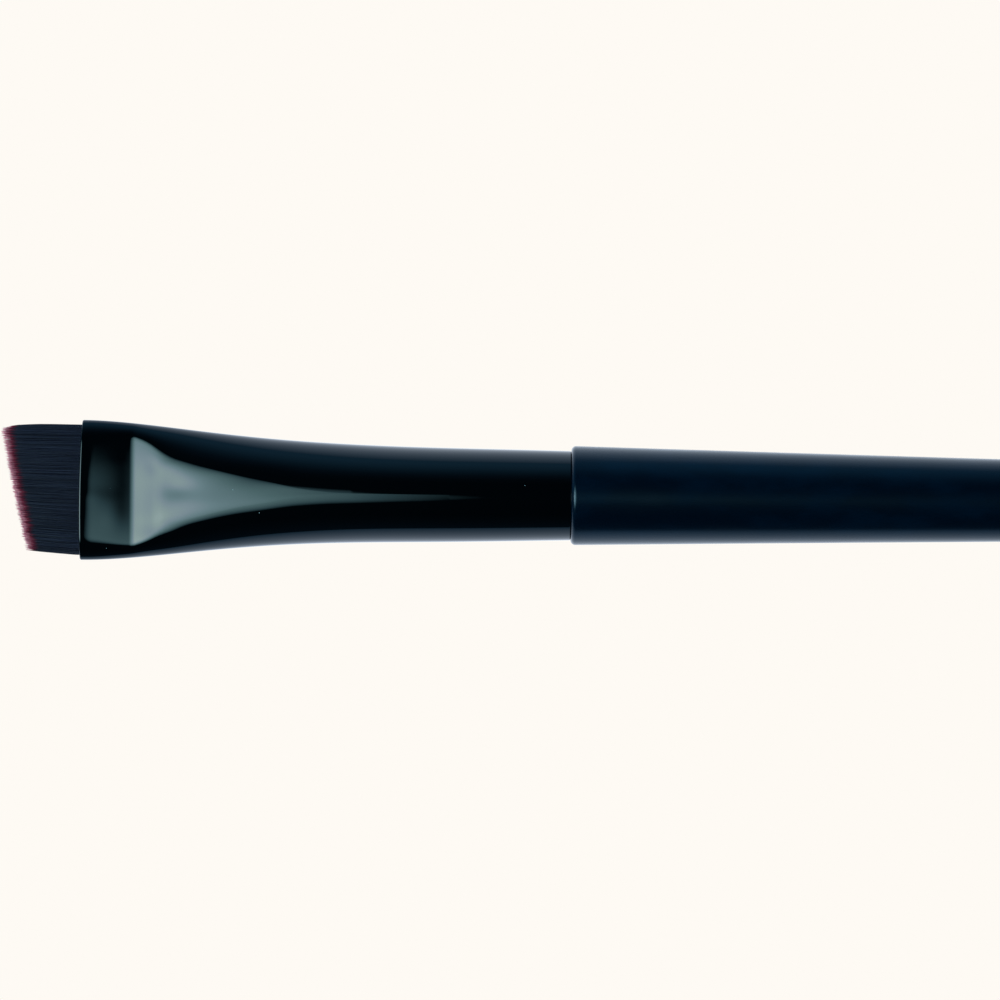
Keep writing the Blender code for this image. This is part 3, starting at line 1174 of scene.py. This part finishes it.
@dataclass(frozen=True)
class InnerPieces:
    """What holds the brush together inside its ferrule, kept as imported and given finishes."""

    thread: InnerFinish = InnerFinish(
        "twisted_cotton_thread", "#cfcabc", "#f2efe6", 0.85, 0.08 * MM, 0.01 * MM
    )
    epoxy: InnerFinish = InnerFinish(
        "cured_amber_epoxy", "#c9bb8e", "#e6dcbb", 0.16, 0.7 * MM, 0.004 * MM
    )
    glue: InnerFinish = InnerFinish(
        "cured_white_wood_glue", "#dcd2b4", "#efe8d2", 0.5, 0.4 * MM, 0.006 * MM
    )

    def dress(self, nodes: dict[str, Object]) -> None:
        """Gives each inner piece its finish.

        Args:
            nodes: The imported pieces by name.
        """
        chosen = {Part.THREAD: self.thread, Part.PLUG: self.epoxy, Part.GLUE: self.glue}
        for part, finish in chosen.items():
            node = nodes[part.value]
            node.data.materials.clear()
            node.data.materials.append(finish.build())
            LOG.info("%s is dressed in %s", part.value, finish.name)


@dataclass
class Studio:
    """A light table, a dim room with one long softbox, and a camera square above the brush."""

    placement: BrushPlacement
    camera_distance: float = 400.0 * MM
    frame_width: float = 62.5 * MM
    sensor_width_mm: float = 36.0
    centre_along: float = 26.125 * MM
    centre_side: float = -0.6345 * MM
    roll: float = math.radians(0.6625)
    paper: str = "#fefaf4"
    floor_size: float = 3.0
    floor_drop: float = 0.04 * MM
    near_tint: str = "#f9faff"
    far_tint: str = "#8accff"
    room_tint: str = "#73c7ff"
    near_glow: float = 1.76
    far_glow: float = 0.48
    glow_width: float = 10.0 * MM
    softbox_height: float = 1.0
    softbox_along: float = 0.8
    softbox_side: float = -0.1
    softbox_reach: tuple[float, float] = (0.86, 0.54)
    softbox_flags: tuple[float, float] = (-0.65, 0.46)
    softbox_radiance: float = 10.4
    # The room's light at each height, from 0 at the horizon to 1 straight up. Its far side is
    # that of the longer filaments.
    far_room: Curve = (
        (0.17, 0.49),
        (0.34, 0.38),
        (0.5, 0.22),
        (0.64, 0.09),
        (0.77, 0.02),
        (0.87, 0.0),
    )
    near_room: Curve = ((0.0, 0.06), (0.34, 0.025), (0.64, 0.0))
    room_blend: float = 0.3
    cloth_from_rim: Sequence[tuple[float, str]] = (
        (0.0, "#000000"),
        (0.1, "#3d5960"),
        (0.3, "#719599"),
        (0.5, "#99bcc5"),
        (0.62, "#b3ceda"),
        (0.75, "#c4e1e1"),
        (1.0, "#e2fffc"),
    )

    def build_camera(self) -> None:
        """Sets the camera square above the pressed face."""
        along, side, up = self.placement.along, self.placement.side, self.placement.up
        right = along * math.cos(self.roll) + side * math.sin(self.roll)
        image_up = up.cross(right)
        aim = self.placement.mouth + right * self.centre_along + image_up * self.centre_side
        data = bpy.data.cameras.new("camera")
        data.sensor_width = self.sensor_width_mm
        data.lens = self.sensor_width_mm * self.camera_distance / self.frame_width
        camera = add_object("camera", data)
        camera.matrix_world = frame_matrix(aim + up * self.camera_distance, right, image_up, up)
        bpy.context.scene.camera = camera
        bpy.context.scene.view_settings.view_transform = "Standard"

    def show_paper(self, tree: NodeTree, kind: str, light: dict[str, Any], output: str) -> None:
        """Shows plain paper to the camera, and what lights the brush to the rest.

        Args:
            tree: The floor's or the room's tree.
            kind: The type of node that glows in such a tree.
            light: Its inputs for what lights the brush and shows in reflections.
            output: The type of the tree's output.
        """
        lit = add_node(tree, kind, light)
        seen = add_node(tree, kind, {"Color": srgb(self.paper)})
        path = add_node(tree, "LightPath")
        surface = add_node(tree, "MixShader", {0: path.outputs["Is Camera Ray"], 1: lit, 2: seen})
        add_node(tree, output, {"Surface": surface})

    def build_floor(self) -> None:
        """Lays the light table, evenly pale to the eye and brightest under the brush."""
        material, tree, place = new_material("backlit_opal_acrylic")
        apart = add_node(tree, "SeparateXYZ", {0: place})
        away = add_node(tree, "Math", {0: apart.outputs["Y"]}, operation="ABSOLUTE")
        wider = add_node(tree, "Math", {0: away, 1: self.glow_width}, operation="ADD")
        nearness = add_node(tree, "Math", {0: self.glow_width, 1: wider}, operation="DIVIDE")
        glow = add_node(tree, "MapRange", {
            "Value": nearness, "To Min": self.far_glow, "To Max": self.near_glow
        })
        tint = add_node(tree, "Mix", {
            MIX_SHARE: nearness, MIX_FIRST: srgb(self.far_tint), MIX_SECOND: srgb(self.near_tint)
        }, data_type="RGBA")
        light = {"Color": tint.outputs[MIX_RESULT], "Strength": glow}
        self.show_paper(tree, "Emission", light, "OutputMaterial")
        half = self.floor_size / 2
        corners = [(-half, -half, 0), (half, -half, 0), (half, half, 0), (-half, half, 0)]
        mesh = bpy.data.meshes.new("light_table")
        mesh.from_pydata(corners, [], [(0, 1, 2, 3)])
        mesh.materials.append(material)
        floor = add_object("light_table", mesh)
        floor.location.z = -self.floor_drop

    def build_room(self) -> None:
        """Surrounds the brush with a dim room, lighter low down on the longer filaments' side."""
        world = bpy.data.worlds.new("studio_room")
        world.use_nodes = True
        tree = world.node_tree
        tree.nodes.clear()
        towards = add_node(tree, "TexCoord").outputs["Generated"]
        apart = add_node(tree, "SeparateXYZ", {0: towards})
        sides = []
        for levels in (self.near_room, self.far_room):
            stops = [(height, (level, level, level, 1.0)) for height, level in levels]
            sides.append(add_node(tree, "ValToRGB", {0: apart.outputs["Z"]}, stops=stops))
        side = add_node(tree, "MapRange", {
            "Value": apart.outputs["Y"], "From Min": -self.room_blend, "From Max": self.room_blend
        }, interpolation_type="SMOOTHSTEP")
        glow = add_node(tree, "Mix", {
            MIX_SHARE: side, MIX_FIRST: sides[0], MIX_SECOND: sides[1]
        }, data_type="RGBA")
        light = {"Color": srgb(self.room_tint), "Strength": glow.outputs[MIX_RESULT]}
        self.show_paper(tree, "Background", light, "OutputWorld")
        bpy.context.scene.world = world

    def build_softbox(self) -> None:
        """Hangs the softbox above the brush, out past its filaments.

        Its cloth is lit from its middle, so that it grows dimmer and bluer towards its rim, and
        two straight flags cut it off along the brush.
        """
        first, last = self.softbox_flags
        reach_along, reach_side = self.softbox_reach
        data = bpy.data.lights.new("softbox", "AREA")
        data.shape = "RECTANGLE"
        data.size = 2 * reach_along
        data.size_y = last - first
        # A flat light of this power has radiance 1, because each square metre sends out pi
        # times its radiance.
        data.energy = math.pi * data.size * data.size_y
        data.use_nodes = True
        tree = data.node_tree
        tree.nodes.clear()
        cloth = add_node(tree, "NewGeometry").outputs["Parametric"]
        from_middle = add_node(tree, "VectorMath", {
            0: cloth,
            1: (2.0, data.size_y / reach_side, 0.0),
            2: (-1.0, (first - self.softbox_side) / reach_side, 0.0),
        }, operation="MULTIPLY_ADD")
        away = add_node(tree, "VectorMath", {0: from_middle}, operation="LENGTH")
        way = away.outputs["Value"]
        share = add_node(tree, "Math", {0: 1.0, 1: way}, operation="SUBTRACT", use_clamp=True)
        stops = [(place, srgb(colour)) for place, colour in self.cloth_from_rim]
        cloth_light = add_node(tree, "ValToRGB", {0: share}, stops=stops)
        lamp = add_node(tree, "Emission", {"Color": cloth_light, "Strength": self.softbox_radiance})
        add_node(tree, "OutputLight", {"Surface": lamp})
        light = add_object("softbox", data)
        middle = Vector((-self.softbox_along, (first + last) / 2, self.softbox_height))
        light.matrix_world = self.placement.matrix @ Matrix.Translation(middle)
        light.visible_camera = False

    def build(self) -> None:
        """Sets up camera, floor, room and softbox."""
        self.build_camera()
        self.build_floor()
        self.build_room()
        self.build_softbox()
        LOG.info("the studio is set up")


def main() -> None:
    """Builds the studio, dresses the brush and reports each piece."""
    logging.basicConfig(level=logging.INFO, format="%(name)s: %(message)s")
    placement = BrushPlacement.from_record(frame["record"], Ferrule.crimp_length)
    Studio(placement).build()
    ferrule = Ferrule(placement)
    builders = [ferrule, Handle(placement, ferrule), FilamentKnot(placement, ferrule)]
    for builder in builders:
        for piece in builder.build():
            LOG.info("%s has %d faces", piece.name, len(piece.data.polygons))
    InnerPieces().dress(frame["nodes"])


if __name__ == "__main__":
    main()
